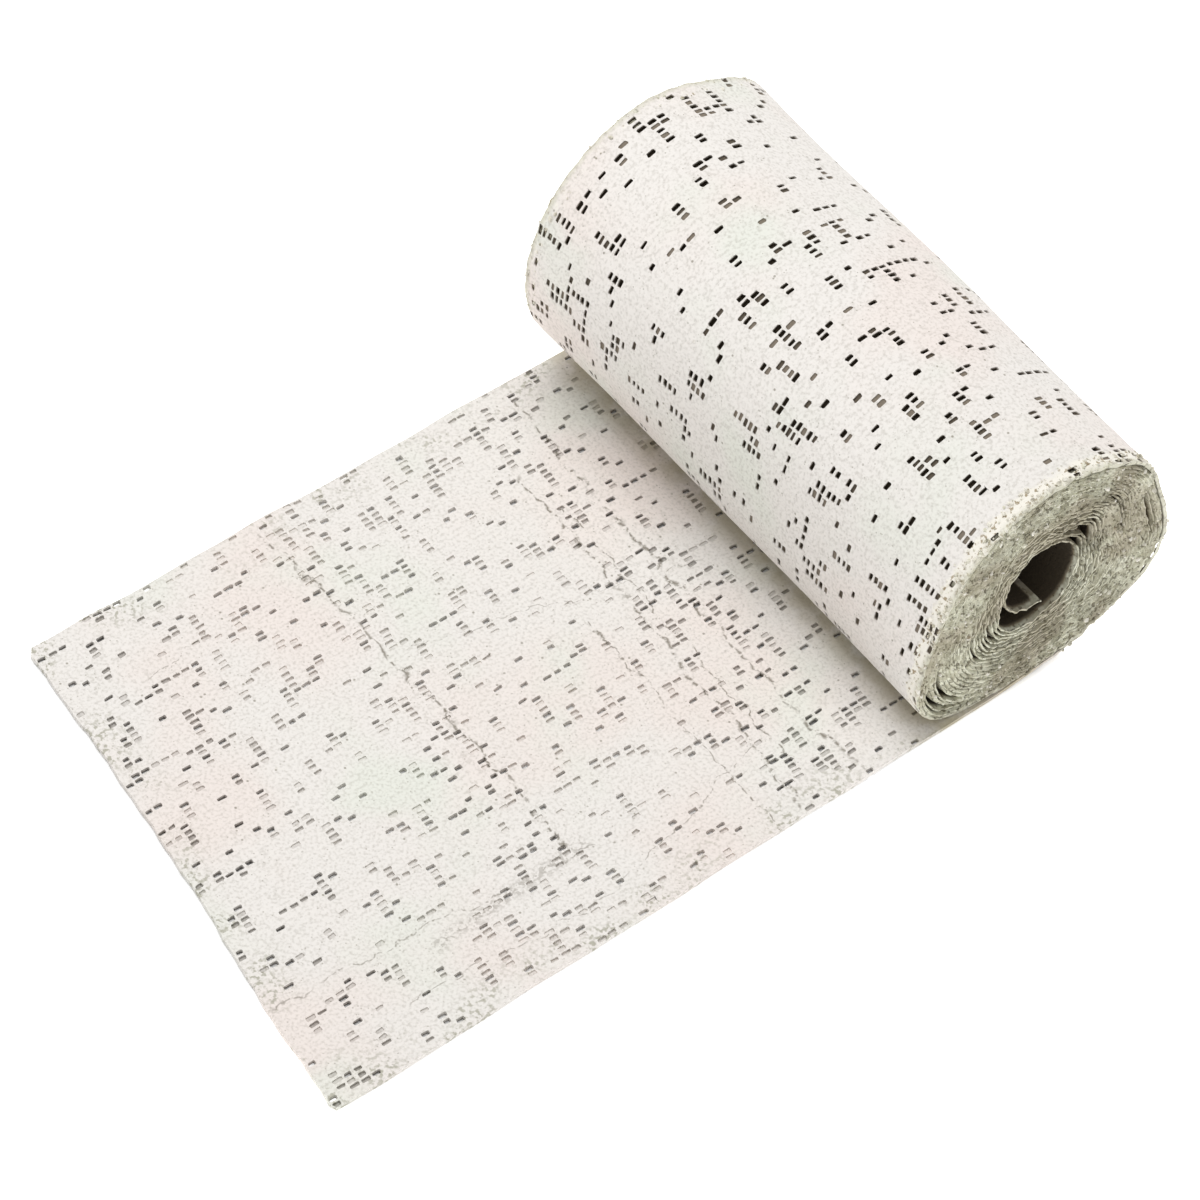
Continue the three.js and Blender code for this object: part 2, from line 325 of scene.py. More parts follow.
back = np.array([
    math.sin(AZIMUTH) * math.cos(ELEVATION),
    -math.cos(AZIMUTH) * math.cos(ELEVATION),
    math.sin(ELEVATION),
])
level = np.cross(-back, [0, 0, 1])
level /= np.linalg.norm(level)
upright = np.cross(level, -back)
right = math.cos(ROLL) * level + math.sin(ROLL) * upright
up = -math.sin(ROLL) * level + math.cos(ROLL) * upright
eye = AIM + back * DISTANCE

deselect()
bpy.ops.object.camera_add()
camera = bpy.context.object
camera.name = "Camera"
camera.data.sensor_width = SENSOR
camera.data.lens = FOCAL_PIXELS * SENSOR / IMAGE_PIXELS
camera.data.clip_start = NEAREST_SEEN
camera.data.clip_end = FARTHEST_SEEN
bpy.context.scene.camera = camera
matrix = np.eye(4)
matrix[:3, 0], matrix[:3, 1], matrix[:3, 2], matrix[:3, 3] = right, up, back, eye
camera.matrix_world = Matrix(matrix.tolist())

# %% [markdown]
# The photograph was taken on pure white in soft light. The roll is lightest along its top and darker
# on both sides, so a wide lamp hangs above it, a little towards the far end, and the white
# surroundings fill the shadows. The floor is a plain plane just under the strip.

# %% Floor, lamp and surroundings
FLOOR_SIZE = 8
FLOOR_DROP = 0.03 * MM
SKY_STRENGTH = 0.6
LAMP_PLACE = Vector((0.0, 0.3, 1.0))
LAMP_SIZE = 0.8
LAMP_WATTS = 6.9

deselect()
bpy.ops.mesh.primitive_plane_add(size=FLOOR_SIZE, location=(0, 0, -FLOOR_DROP))
floor = bpy.context.object
floor.name = "Floor"

bpy.ops.object.light_add(type="AREA", location=LAMP_PLACE)
lamp = bpy.context.object
lamp.name = "Lamp"
lamp.data.shape = "DISK"
lamp.data.size = LAMP_SIZE
lamp.data.energy = LAMP_WATTS
lamp.rotation_euler = LAMP_PLACE.to_track_quat("Z", "Y").to_euler()

world = bpy.data.worlds.new("White_surroundings")
bpy.context.scene.world = world
world.use_nodes = True
world.node_tree.nodes["Background"].inputs["Color"].default_value = (1, 1, 1, 1)
world.node_tree.nodes["Background"].inputs["Strength"].default_value = SKY_STRENGTH
bpy.context.scene.view_settings.view_transform = "Standard"
bpy.context.scene.view_settings.look = "None"

# %% [markdown]
# Which cells of the gauze stay open? Plaster closes most of them. Some stay open singly, some in
# stacks side by side across the strip, where two threads lie further apart, and some in short rows
# along it. The first of a stack is mostly clear and the next ones clogged. Along the cracks more of
# them are open. Each cell gets a kind: closed, clear, or clogged less or more.

# %% Open cells
ROWS = 86
COLUMNS = 149
WEFT_PITCH = 2.07 * MM
WARP_PITCH = STRIP_WIDTH / ROWS
CLOSED, CLEAR, HALF_CLOGGED, CLOGGED = 0, 1, 2, 3
STACK_ODDS = [0.56, 0.2, 0.12, 0.07, 0.05]
MEAN_SPACE = 8.2
ROLL_SPACE = 9.4
EVENNESS = 2.4
CRACK_COLUMNS = [23.5, 26.5, 46.5, 51.5]
CRACK_SPACE = 2.6
ROW_ODDS = 0.13
FOOT_COLUMN = 66
CLEAR_FIRST = {"loose end": 0.5, "roll": 0.8}
CLEAR_LATER = {"loose end": 0.15, "roll": 0.5}
HALF_OF_THE_REST = 0.6


def rows_to_next(dice, mean):
    """How many closed rows follow, evenly enough that few large bare patches are left."""
    return int(dice.gamma(EVENNESS, mean / EVENNESS))


def kind_of_next(dice, first, on_roll):
    """How clear an opening is, where it is the first of its stack or a later one."""
    odds = CLEAR_FIRST if first else CLEAR_LATER
    clear = odds["roll" if on_roll else "loose end"]
    draw = dice.random()
    if draw < clear:
        return CLEAR
    return HALF_CLOGGED if draw < clear + (1 - clear) * HALF_OF_THE_REST else CLOGGED


def mean_space(column):
    """The mean number of closed rows between stacks: fewer in a column where a crack runs."""
    if min(abs(column - place) for place in CRACK_COLUMNS) < 1:
        return CRACK_SPACE
    return MEAN_SPACE if column < FOOT_COLUMN else ROLL_SPACE


def open_cells():
    """The kind of each cell, by its column along the strip and its row across it."""
    dice = np.random.default_rng(20)
    kinds = np.full((COLUMNS, ROWS), CLOSED)
    for column in range(COLUMNS):
        mean = mean_space(column)
        row = int(dice.uniform(0, mean))
        while row < ROWS:
            stack = 1 + int(dice.choice(len(STACK_ODDS), p=STACK_ODDS))
            for step in range(stack):
                if row + step < ROWS:
                    kind = kind_of_next(dice, step == 0, column > FOOT_COLUMN)
                    kinds[column, ROWS - 1 - row - step] = kind
            if stack == 1 and dice.random() < ROW_ODDS:
                for step in range(1, int(dice.integers(2, 4))):
                    if column + step < COLUMNS:
                        kinds[column + step, ROWS - 1 - row] = kinds[column, ROWS - 1 - row]
            row += stack + 1 + rows_to_next(dice, mean)
    return kinds


kinds = open_cells()
print("open cells:", int((kinds != CLOSED).sum()), "of", kinds.size)

# %% [markdown]
# The gauze is modelled flat, like the woven strip before it is wound. A grid has one face for each
# cell. Faces of open cells are inset, so that the threads around them remain, their corners are
# rounded with a vertex bevel, and each one is made a little different from the next.

# %% Flat grid and its openings
THREAD = 0.19 * MM
CORNER = 0.17 * MM
STRIP_THICKNESS = 0.8 * MM
OPENING_CORNERS = 8
LARGER_ON_ROLL = 1.03
LENGTHS = (0.78, 1.06)
WIDTHS = (0.74, 1.12)
ASIDE = 0.05 * MM
RAGGED = 0.035 * MM


def flat_grid(name, columns, rows):
    """A flat grid whose faces are one weft pitch by one warp pitch, from the origin on."""
    deselect()
    bpy.ops.mesh.primitive_grid_add(x_subdivisions=columns, y_subdivisions=rows, size=2)
    piece = bpy.context.object
    piece.name = name
    rows_xyz = places(piece)
    rows_xyz[:, 0] = (rows_xyz[:, 0] + 1) / 2 * columns * WEFT_PITCH
    rows_xyz[:, 1] = (rows_xyz[:, 1] + 1) / 2 * rows * WARP_PITCH
    put(piece, rows_xyz)
    return piece


def select_faces(piece, chosen):
    """Goes into edit mode with just these faces selected."""
    activate(piece)
    bpy.ops.object.mode_set(mode="EDIT")
    bpy.ops.mesh.select_mode(type="FACE")
    bpy.ops.mesh.select_all(action="DESELECT")
    bpy.ops.object.mode_set(mode="OBJECT")
    piece.data.polygons.foreach_set("select", np.asarray(chosen, bool))
    bpy.ops.object.mode_set(mode="EDIT")


def face_values(piece, what, width=1):
    values = np.zeros(len(piece.data.polygons) * width, np.float32 if width > 1 else np.int32)
    piece.data.polygons.foreach_get(what, values)
    return values.reshape(-1, width) if width > 1 else values


def face_kinds(piece):
    values = np.zeros(len(piece.data.polygons), np.int32)
    piece.data.attributes["kind"].data.foreach_get("value", values)
    return values


def frame_openings(piece, chosen):
    """Leaves threads around the chosen faces, and rounds the corners of what is left of them."""
    select_faces(piece, chosen)
    bpy.ops.mesh.inset(thickness=THREAD, use_individual=True)
    bpy.ops.mesh.bevel(offset=CORNER, affect="VERTICES")
    bpy.ops.object.mode_set(mode="OBJECT")


def vary_openings(piece, seed):
    """Makes each eight-cornered opening a little larger or smaller and moves it aside a little."""
    dice = np.random.default_rng(seed)
    is_opening = face_values(piece, "loop_total") == OPENING_CORNERS
    starts = face_values(piece, "loop_start")[is_opening]
    corners = np.zeros(len(piece.data.loops), np.int32)
    piece.data.loops.foreach_get("vertex_index", corners)
    rings = corners[starts[:, None] + np.arange(OPENING_CORNERS)]
    rows = places(piece)
    middles = rows[rings].mean(axis=1, keepdims=True)
    count = len(rings)
    scale = np.ones((count, 1, 3))
    scale[:, 0, 0] = dice.uniform(*LENGTHS, count)
    scale[:, 0, 1] = dice.uniform(*WIDTHS, count)
    scale[middles[:, 0, 0] > FOOT_COLUMN * WEFT_PITCH] *= LARGER_ON_ROLL
    aside = dice.normal(0, ASIDE, (count, 1, 3)) * [1.6, 1, 0]
    ragged = dice.normal(0, RAGGED, (count, OPENING_CORNERS, 3)) * [1.5, 1, 0]
    rows[rings] = middles + (rows[rings] - middles) * scale + aside + ragged
    put(piece, rows)


# %% [markdown]
# Clear openings are cut right through: their faces are deleted before the sheet gets its thickness
# from a Solidify modifier. Clogged ones are pressed into the side that shows, which is the top of the
# loose end, and the underside of the stretch that becomes the outside of the roll.

# %% The woven strip, flat
RECESS = {HALF_CLOGGED: 0.42 * MM, CLOGGED: 0.24 * MM}
FACES_STRAIGHT = 0.9

strip = flat_grid("loose_end_and_outer_turn", COLUMNS, ROWS)
middles = face_values(strip, "center", 3)
cell_column = (middles[:, 0] // WEFT_PITCH).astype(int)
cell_row = (middles[:, 1] // WARP_PITCH).astype(int)
cell_kinds = kinds[cell_column, cell_row]
strip.data.attributes.new("kind", "INT", "FACE").data.foreach_set("value", cell_kinds.astype(np.int32))

frame_openings(strip, cell_kinds == CLEAR)
vary_openings(strip, seed=31)
select_faces(strip, face_values(strip, "loop_total") == OPENING_CORNERS)
bpy.ops.mesh.delete(type="FACE")
bpy.ops.object.mode_set(mode="OBJECT")


def thicken(piece, thickness):
    """Gives a flat sheet its thickness, from z = 0 up."""
    solidify = piece.modifiers.new("Thickness", "SOLIDIFY")
    solidify.thickness = thickness
    solidify.offset = 1
    activate(piece)
    bpy.ops.object.modifier_apply(modifier=solidify.name)


thicken(strip, STRIP_THICKNESS)
thickened = places(strip)
thickened[:, 2] = np.abs(thickened[:, 2])
put(strip, thickened)
facing = face_values(strip, "normal", 3)[:, 2]
middles = face_values(strip, "center", 3)
on_roll = middles[:, 0] > FOOT_COLUMN * WEFT_PITCH
side_that_shows = np.where(on_roll, facing < -FACES_STRAIGHT, facing > FACES_STRAIGHT)
clogged = side_that_shows & (face_kinds(strip) >= HALF_CLOGGED)
frame_openings(strip, clogged)
vary_openings(strip, seed=32)
for kind, depth in RECESS.items():
    for rolled, way in ((False, -1), (True, 1)):
        middles = face_values(strip, "center", 3)
        here = (middles[:, 0] > FOOT_COLUMN * WEFT_PITCH) == rolled
        openings = here & (face_values(strip, "loop_total") == OPENING_CORNERS)
        select_faces(strip, openings & (face_kinds(strip) == kind))
        bpy.ops.mesh.extrude_region_move(TRANSFORM_OT_translate={"value": (0, 0, way * depth)})
        bpy.ops.object.mode_set(mode="OBJECT")

# %% [markdown]
# Now the flat strip is laid out and wound up. Each point has a place along the strip, a place across
# it and a height in its thickness. The slanted cut at the loose end leans the weft threads there, and
# the lean dies away around the roll. What is still flat is kept on every point as attributes, so that
# the finish can follow the weave: the column and row of the cell, and how deep the point lies below
# the face that shows. From that depth comes the shade that is painted into the walls of the openings.

# %% Lay out and wind the strip
MEAN_RADIUS = 26.2 * MM
OUTER_TURNED = 373
TIGHTER = 0.86
CUT_WAVES = [(0.16, 6.5, 0), (0.1, 2.7, 1), (0.08, 1.1, 2)]
CUT_HOLLOW = 1.1 * MM
CUT_HOLLOW_AT = 8 * MM
CUT_HOLLOW_WIDTH = 25 * MM
CORNER_RADIUS = 0.7 * MM
FOOT_BLEND = 8 * MM
CONTACT_NEAR = -18 * MM
CONTACT_FAR = -14 * MM
CONTACT_SHADOW_WIDTH = 8 * MM
ROLL_BEHIND = 32.3 * MM
SIDEWAYS = 0.32 * MM
FAR_CRUST = 0.25
DEEP_CURVE = 0.6
DEEP_AT_CUT_AND_ROLL = 0.76
DEEP_BETWEEN = 0.44
ROW_WANDER = 0.3 * MM
COLUMN_WANDER = 0.5 * MM
COLUMN_JITTER = 0.05 * MM
RIM_BUMPS = 0.1 * MM
FRAYED_SLOWLY = 0.16 * MM
FRAYED_QUICKLY = 0.2 * MM
CUT_EDGE_RIM = 0.8


def reach(v):
    """How far in front of the roll's middle the strip was cut, before the cut's own raggedness."""
    return mix(LOOSE_NEAR, LOOSE_FAR, share_of(v))


def cut_raggedness(v):
    """Waves of the cut and its rounded corners, as a length that is missing there."""
    waves = sum(height * np.sin(v / MM / length + start) for height, length, start in CUT_WAVES)
    in_corner = np.maximum(0, np.abs(v) - HALF + CORNER_RADIUS) / CORNER_RADIUS
    rounding = CORNER_RADIUS * (1 - np.sqrt(np.maximum(0, 1 - in_corner**2)))
    hollow = CUT_HOLLOW * np.exp(-((v - CUT_HOLLOW_AT) / CUT_HOLLOW_WIDTH) ** 2)
    return rounding + hollow - waves * MM


def keep(piece, name, values, kind="FLOAT"):
    """Stores one value for each vertex as an attribute that materials can read."""
    attribute = piece.data.attributes.new(name, kind, "POINT")
    what = "value" if kind == "FLOAT" else "vector"
    attribute.data.foreach_set(what, np.asarray(values, np.float32).ravel())


def free_of_ends(column):
    """0 near the cut edge and near the roll, where the strip stands off the ground, 1 in between."""
    return smooth(column, 6, 16) * (1 - smooth(column, 40, 50))


flat = places(strip)
column = flat[:, 0] / WEFT_PITCH
row = flat[:, 1] / WARP_PITCH
height = flat[:, 2]
rolled_up = column > FOOT_COLUMN
# How much shade is painted into the openings: it grows with depth below the face that shows, is stronger
# near the cut and the roll, where the strip stands off the ground, and is none on the outer edges.
below_face = np.where(rolled_up, height, STRIP_THICKNESS - height) / STRIP_THICKNESS
painted_shade = below_face.clip(0, 1) ** DEEP_CURVE
on_edge = (row < 0.02) | (row > ROWS - 0.02) | (column < 0.02)
shade_inside = np.where(rolled_up, 1, mix(DEEP_AT_CUT_AND_ROLL, DEEP_BETWEEN, free_of_ends(column)))
painted_shade = painted_shade * np.where(on_edge, 0, shade_inside)

v = -HALF + flat[:, 1]
free_edge = 1 - (v / HALF) ** 2
v = v + ROW_WANDER * uneven(41, 30, column * 2, row) * free_edge
foot = oval(v)[3]
last = foot + math.radians(OUTER_TURNED) * MEAN_RADIUS
along = -reach(v) + column * (reach(v) + last) / COLUMNS
along = along + cut_raggedness(v) * np.exp(-column / 2)
along = along + COLUMN_WANDER * uneven(42, 45, column * 2, row) * smooth(column, 0, 8)
along = along + COLUMN_JITTER * uneven(43, 2.3, column, row)

lying_x = np.minimum(along, foot)
lying_z = loose_lift(lying_x, v) + wound(0, v)[1] * smooth(lying_x, foot - FOOT_BLEND, foot)
free = smooth(-along, 0, PRESSED)
edge_waves = sum(size * np.sin(along / MM / length) for size, length in EDGE_WAVES) * MM
lying_y = v + edge_waves * free * v / HALF

turned = np.degrees(np.maximum(along - foot, 0) / MEAN_RADIUS)
rolled_x, rolled_z, inward_x, inward_z = wound(turned, v)
near_rim = smooth(np.abs(v), HALF - 4 * MM, HALF)
rim_bumps = RIM_BUMPS * uneven(44, 2.6, along / MM, v / MM) * near_rim * smooth(turned, 15, 40)
thickness = mix(1, TIGHTER, smooth(along, -20 * MM, foot))
tight = height * thickness - rim_bumps
frayed = FRAYED_SLOWLY * uneven(45, 5, along / MM)
frayed = frayed + FRAYED_QUICKLY * uneven(46, 1.4, along / MM, height / MM)
rolled_y = v + end_slant(rolled_x, v) + frayed * np.sign(v) * smooth(np.abs(v), HALF - 3 * MM, HALF)

is_rolled = along > foot
x = np.where(is_rolled, rolled_x + inward_x * tight, along)
y = np.where(is_rolled, rolled_y, lying_y)
z = np.where(is_rolled, rolled_z + inward_z * tight, lying_z + height * thickness)
z = np.maximum(z, 0)

centre = np.array([cad_box[1][0] - ROLL_BEHIND, SIDEWAYS, 0])
put(strip, np.stack([x, y, z], axis=1) + centre)
keep(strip, "weave", np.stack([column, row, height / MM], axis=1), "FLOAT_VECTOR")
keep(strip, "painted_shade", painted_shade)
keep(strip, "rim", on_edge * CUT_EDGE_RIM * smooth(turned, 5, 30))
# Painted shadow: a blotchy band of shade on the strip just in front of where the roll lies on it.
contact = foot + mix(CONTACT_NEAR, CONTACT_FAR, share_of(v))
near_contact = smooth(along, contact - CONTACT_SHADOW_WIDTH, contact)
keep(strip, "contact_shadow", near_contact * (1 - smooth(along, foot, foot + CONTACT_SHADOW_WIDTH)))
from_cut = along + reach(v)
by_border = np.maximum(smooth(np.abs(v), HALF - 9 * MM, HALF - MM), 1 - smooth(from_cut, MM, 10 * MM))
keep(strip, "border", by_border * (1 - smooth(along, foot - 4 * MM, foot)))
crusted = smooth(np.abs(v), HALF - 4 * MM, HALF - 1.5 * MM) * smooth(turned, 5, 30)
keep(strip, "crust", crusted * mix(1, FAR_CRUST, share_of(v)))

# %% [markdown]
# The turns inside the roll show only at its two ends, in the bore and through the open cells of the
# outside. They are one long sheet with few faces across it and many along it, closer together near
# the edges. It is made in two lengths, so that neither mesh grows too large. Each edge is frayed by
# itself, thins out, and stands a little further out or in than its neighbour, and the turns near the
# bore lie in a shallow dish.

# %% Inner turns
EDGE_ROWS = [0, 0.35, 0.9, 1.7, 3.5, 10, 50, 90, 96.5, 98.3, 99.1, 99.65, 100]
STEP_ALONG = 0.66 * MM
DISH_RADIUS = 15 * MM
DISH_DEPTH = 0.8 * MM
EDGE_THINNING = 0.55
STREAK_DEGREES = 9
TURN_PITCH = (MEAN_RADIUS - FIRST_STEP - BORE) / INNER_TURNS


def dish(left):
    """How far the ends of the turns lie inside the roll's ends, by the turns left to the bore."""
    from_middle = BORE + left * TURN_PITCH
    return DISH_DEPTH * np.clip((DISH_RADIUS - from_middle) / (DISH_RADIUS - BORE), 0, 1)


def steps_of(first, final):
    """Degrees of winding from first to final in steps of even length, and the length itself."""
    steps = [first]
    while steps[-1] < final:
        radius = BORE + (LAST_TURNED - steps[-1]) / 360 * TURN_PITCH
        steps.append(steps[-1] + math.degrees(STEP_ALONG / radius))
    return np.array(steps), (len(steps) - 1) * STEP_ALONG


def inner_sheet(name, first, final):
    """One length of the inner turns, from one winding angle to another. Returns it and its length."""
    steps, length = steps_of(first, final)
    piece = flat_grid(name, len(steps) - 1, len(EDGE_ROWS) - 1)
    thicken(piece, INNER_THICKNESS)
    flat = places(piece)
    step = np.rint(flat[:, 0] / WEFT_PITCH).astype(int)
    side = np.rint(flat[:, 1] / WARP_PITCH).astype(int)
    height = np.abs(flat[:, 2])
    turned = steps[step]
    v = -HALF + np.array(EDGE_ROWS)[side] * MM
    outward = np.sign(v)
    edge = smooth(np.abs(v), HALF - 1.6 * MM, HALF)
    around = step * STEP_ALONG / MM
    left = np.clip((LAST_TURNED - turned) / 360, 0, INNER_TURNS)
    turn_offset = uneven(51, 70, around * outward, around * 0.3) * 0.35 * MM
    fraying = uneven(52, 2.4, around, outward * 40) * 0.22 * MM
    fraying = fraying + uneven(53, 1.3, around, outward * 9) * 0.13 * MM
    thin = 1 - edge * (EDGE_THINNING + 0.2 * uneven(54, 3, around, outward * 7))
    middle = INNER_THICKNESS / 2 + 0.1 * MM * uneven(55, 5, around, outward * 11) * edge
    x, z, inward_x, inward_z = wound(turned, v)
    pushed = middle + (height - INNER_THICKNESS / 2) * thin
    drawn_in = (dish(left) - turn_offset - fraying * edge) * smooth(np.abs(v), 0.03, HALF)
    y = v + end_slant(x, v) - outward * drawn_in
    put(piece, np.stack([x + inward_x * pushed, y, z + inward_z * pushed], axis=1) + centre)
    # Painted shade: away from their edges the inner turns are painted dark, for the shade between the
    # turns that shows through the open cells and in the bore; the innermost end is painted lighter.
    covered = 1 - smooth(np.abs(v), HALF - 1.7 * MM, HALF - 0.35 * MM)
    covered = covered * np.where(left * 360 < STREAK_DEGREES, 0.35, 1)
    cells = [around / (WEFT_PITCH / MM), (v + HALF) / WARP_PITCH, height / MM]
    keep(piece, "weave", np.stack(cells, axis=1), "FLOAT_VECTOR")
    keep(piece, "painted_shade", covered)
    keep(piece, "turn", left)
    keep(piece, "rim", smooth(np.abs(v), HALF - 8 * MM, HALF - 2 * MM))
    return piece, length


HALFWAY = 360 * 12
middle_turns, middle_length = inner_sheet("middle_turns", OUTER_TURNED - 4, HALFWAY)
inner_turns, inner_length = inner_sheet("inner_turns", HALFWAY, LAST_TURNED)
print("inner turns, mm of strip:", round(middle_length / MM), round(inner_length / MM))

# %% [markdown]
# At the ends, dust and crumbs of plaster have packed into the grooves between the turns. This is a
# ring on each end that follows the roll's oval: flush with the turns in the outer part, where it
# hides most grooves, and well below them around the bore, where the turns stand apart.

# %% Packed plaster
RING_AROUND = 300
RING_ACROSS = 92
RING_INNER = 0.06
RING_OUTER = 0.985
RING_DEPTH = 3.0 * MM
SLIT_DEPTH = 4


def packed_face(angle, part, outward):
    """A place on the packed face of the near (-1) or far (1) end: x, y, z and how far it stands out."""
    left = part * INNER_TURNS
    v = np.full(len(angle), outward * HALF)
    x, z, _, _ = among_turns(angle, left, v)
    slits = 0
    for place in SLACK:
        window, count = slack_window(place, angle, left)
        slits = slits + window * np.exp(-((count - place["turns"]) / 0.4) ** 2)
    lumps = uneven(61 + outward, 2.6, x / MM, z / MM) * 0.2
    lumps = lumps + uneven(63 + outward, 1.1, x / MM, z / MM) * 0.16
    patches = uneven(65 + outward, 13, x / MM, z / MM)
    ridge_height = 0.2 + 0.12 * uneven(67 + outward, 8, x / MM, z / MM)
    ridge = np.cos(2 * math.pi * (left + angle / 360)) * ridge_height
    level = mix(-1.5, 0.05, smooth(part, 0.16, 0.5))
    proud = level + lumps + ridge + 0.35 * patches - SLIT_DEPTH * slits
    y = outward * (HALF - dish(left) + proud * MM) + end_slant(x, v)
    return x, y, z, proud


def packed_ring(name, outward):
    """A ring of packed plaster, as a grid bent round and closed."""
    piece = flat_grid(name, RING_AROUND, RING_ACROSS)
    thicken(piece, RING_DEPTH)
    across_seam = np.abs(face_values(piece, "normal", 3)[:, 0]) > FACES_STRAIGHT
    select_faces(piece, across_seam)
    bpy.ops.mesh.delete(type="ONLY_FACE")
    bpy.ops.object.mode_set(mode="OBJECT")
    flat = places(piece)
    angle = flat[:, 0] / WEFT_PITCH / RING_AROUND * 360
    part = mix(RING_INNER, RING_OUTER, flat[:, 1] / WARP_PITCH / RING_ACROSS)
    x, y, z, proud = packed_face(angle, part, outward)
    depth = np.abs(flat[:, 2])
    put(piece, np.stack([x, y - outward * depth, z], axis=1) + centre)
    keep(piece, "weave", np.stack([angle, part * 20, depth / MM], axis=1), "FLOAT_VECTOR")
    # Painted shade where the packed plaster lies below the turns, as around the bore.
    keep(piece, "painted_shade", np.clip(-proud * 0.2 - 0.05, 0, 0.6))
    keep(piece, "rim", np.ones(len(flat)))
    keep(piece, "turn", part * INNER_TURNS + angle / 360)
    activate(piece)
    bpy.ops.object.mode_set(mode="EDIT")
    bpy.ops.mesh.select_all(action="SELECT")
    bpy.ops.mesh.remove_doubles(threshold=0.001 * MM)
    bpy.ops.object.mode_set(mode="OBJECT")
    return piece


near_packing = packed_ring("packed_plaster_near", -1)
far_packing = packed_ring("packed_plaster_far", 1)

# %% [markdown]
# Dry plaster crumbles where the cloth is cut or bent. The crumbs lie along both rims of the roll and
# on the packed faces. One small ball is modelled, an Array modifier repeats it, and each copy is then
# squeezed, turned and moved to its own place.

# %% Crumbs
CRUMBS = 900
CRUMB_SMALL = 0.12 * MM
CRUMB_LARGE = 0.42 * MM
RIM_BORDER = 3.2 * MM
ON_NEAR_RIM = 0.5
ON_FAR_RIM = 0.1


def crumb_places(count, dice, outward):
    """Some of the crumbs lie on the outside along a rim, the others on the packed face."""
    on_outside = int(count * (ON_NEAR_RIM if outward < 0 else ON_FAR_RIM))
    turned = dice.uniform(15, 300, on_outside)
    v = outward * (HALF - RIM_BORDER * dice.random(on_outside) ** 1.6)
    x, z, _, _ = wound(turned, v)
    on_rim = np.stack([x, v + end_slant(x, v), z], axis=1)
    angle = dice.uniform(0, 360, count - on_outside)
    part = np.sqrt(dice.uniform(0.2, 0.97, count - on_outside))
    x, y, z, _ = packed_face(angle, part, outward)
    return np.concatenate([on_rim, np.stack([x, y, z], axis=1)]) + centre


def crumbs(name, outward, seed):
    dice = np.random.default_rng(seed)
    deselect()
    bpy.ops.mesh.primitive_ico_sphere_add(subdivisions=2, radius=1)
    piece = bpy.context.object
    piece.name = name
    one = len(piece.data.vertices)
    repeat = piece.modifiers.new("Repeat", "ARRAY")
    repeat.count = CRUMBS
    repeat.use_relative_offset = False
    bpy.ops.object.modifier_apply(modifier=repeat.name)
    ball = places(piece).reshape(CRUMBS, one, 3)
    ball = ball * (1 + 0.22 * dice.normal(size=(CRUMBS, one, 1)).clip(-1, 1))
    turns, _ = np.linalg.qr(dice.normal(size=(CRUMBS, 3, 3)))
    stretch = dice.uniform(0.6, 1.3, (CRUMBS, 1, 3))
    size = mix(CRUMB_SMALL, CRUMB_LARGE, dice.random((CRUMBS, 1, 1)) ** 2.2)
    turned = (ball * stretch * size) @ (turns * np.sign(np.linalg.det(turns))[:, None, None])
    put(piece, (turned + crumb_places(CRUMBS, dice, outward)[:, None, :]).reshape(-1, 3))
    keep(piece, "rim", np.repeat(dice.uniform(0, 0.9, CRUMBS), one))
    keep(piece, "crust", np.ones(CRUMBS * one))
    return piece


near_crumbs = crumbs("crumbs_near", -1, seed=71)
far_crumbs = crumbs("crumbs_far", 1, seed=72)

# %% [markdown]
# All is dry matte plaster: warm off-white with faint pink and greenish clouds, specks, pits and a
# fine grain over the ribs of the weave. The attributes tell where shade is painted in, brown and dark:
# deep in the openings, in the bore, on the hidden turns and on low packed plaster. There are two
# finishes. The strip's has a worn border, painted shadow where the roll lies on it, and cracks and
# creases, given in millimetres in the part's frame. That of the ends, where the cut threads show, is
# greenish beige, with pits and the edges of the turns.

